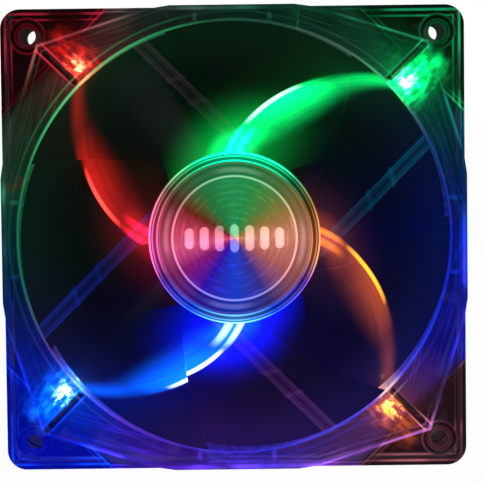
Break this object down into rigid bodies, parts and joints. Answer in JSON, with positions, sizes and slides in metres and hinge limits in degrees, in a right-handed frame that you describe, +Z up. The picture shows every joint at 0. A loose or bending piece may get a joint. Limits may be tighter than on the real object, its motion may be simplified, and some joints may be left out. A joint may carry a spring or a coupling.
{
  "type": "case fan",
  "caption": "Square case fan with a clear smoke-tinted frame and impeller, four coloured corner lamps shining across the blades, and a brushless hub motor.",
  "frame": {"origin": "middle of the bottom edge, where the lower side flats rest, half way through the depth", "axes": "+Y along the impeller's axis towards the exhaust face, +Z up, +X to the right as seen from the intake"},
  "size_m": [0.12, 0.025, 0.12],
  "materials": {
    "smoke_frame": "clear smoke-tinted moulded plastic, polished",
    "smoke_impeller": "clear smoke-tinted moulded plastic, polished",
    "rear_foil": "satin foil",
    "spun_foil": "spun foil with fine rings",
    "black_plastic": "matt",
    "chip_black": "moulded chip body",
    "bronze": "sintered, oiled",
    "white_nylon": "natural nylon",
    "green_board": "solder mask",
    "ceramic_tan": "glazed",
    "lamination_steel": "stacked sheet edges",
    "enamelled_copper": "enamelled copper wire",
    "plated_steel": "zinc plated",
    "rubber_magnet": "bonded ferrite",
    "shaft_steel": "ground",
    "tinned_pins": "tinned",
    "shrink_sleeve": "heat shrink",
    "wire_insulation": "soft vinyl",
    "lamp_green": "tinted lens",
    "lamp_red": "tinted lens",
    "lamp_blue": "tinted lens",
    "lamp_amber": "tinted lens"
  },
  "bodies": {
    "frame": {"frame_housing": "smoke_frame", "rear_label": "rear_foil", "bearing_plug": "black_plastic", "sleeve_bearing": "bronze", "oil_ring": "white_nylon", "circuit_board": "green_board", "hall_sensor": "chip_black", "driver_chip": "chip_black", "capacitor": "ceramic_tan", "resistors": "chip_black", "stator_core": "lamination_steel", "bobbin_front": "white_nylon", "bobbin_rear": "white_nylon", "coil_windings": "enamelled_copper", "led_green": "lamp_green", "led_pins_green": "tinned_pins", "wire_sleeves_green": "shrink_sleeve", "led_wires_green": "wire_insulation", "led_red": "lamp_red", "led_pins_red": "tinned_pins", "wire_sleeves_red": "shrink_sleeve", "led_wires_red": "wire_insulation", "led_blue": "lamp_blue", "led_pins_blue": "tinned_pins", "wire_sleeves_blue": "shrink_sleeve", "led_wires_blue": "wire_insulation", "led_amber": "lamp_amber", "led_pins_amber": "tinned_pins", "wire_sleeves_amber": "shrink_sleeve", "led_wires_amber": "wire_insulation"},
    "rotor": {"impeller": "smoke_impeller", "hub_label": "spun_foil", "rotor_yoke": "plated_steel", "ring_magnet": "rubber_magnet", "shaft": "shaft_steel", "retaining_clip": "white_nylon"}
  },
  "joints": [
    {"name": "impeller_spin", "type": "hinge", "parent": "frame", "child": "rotor", "pos_m": [0, 0, 0.06], "axis": [0, -1, 0], "continuous": true}
  ]
}
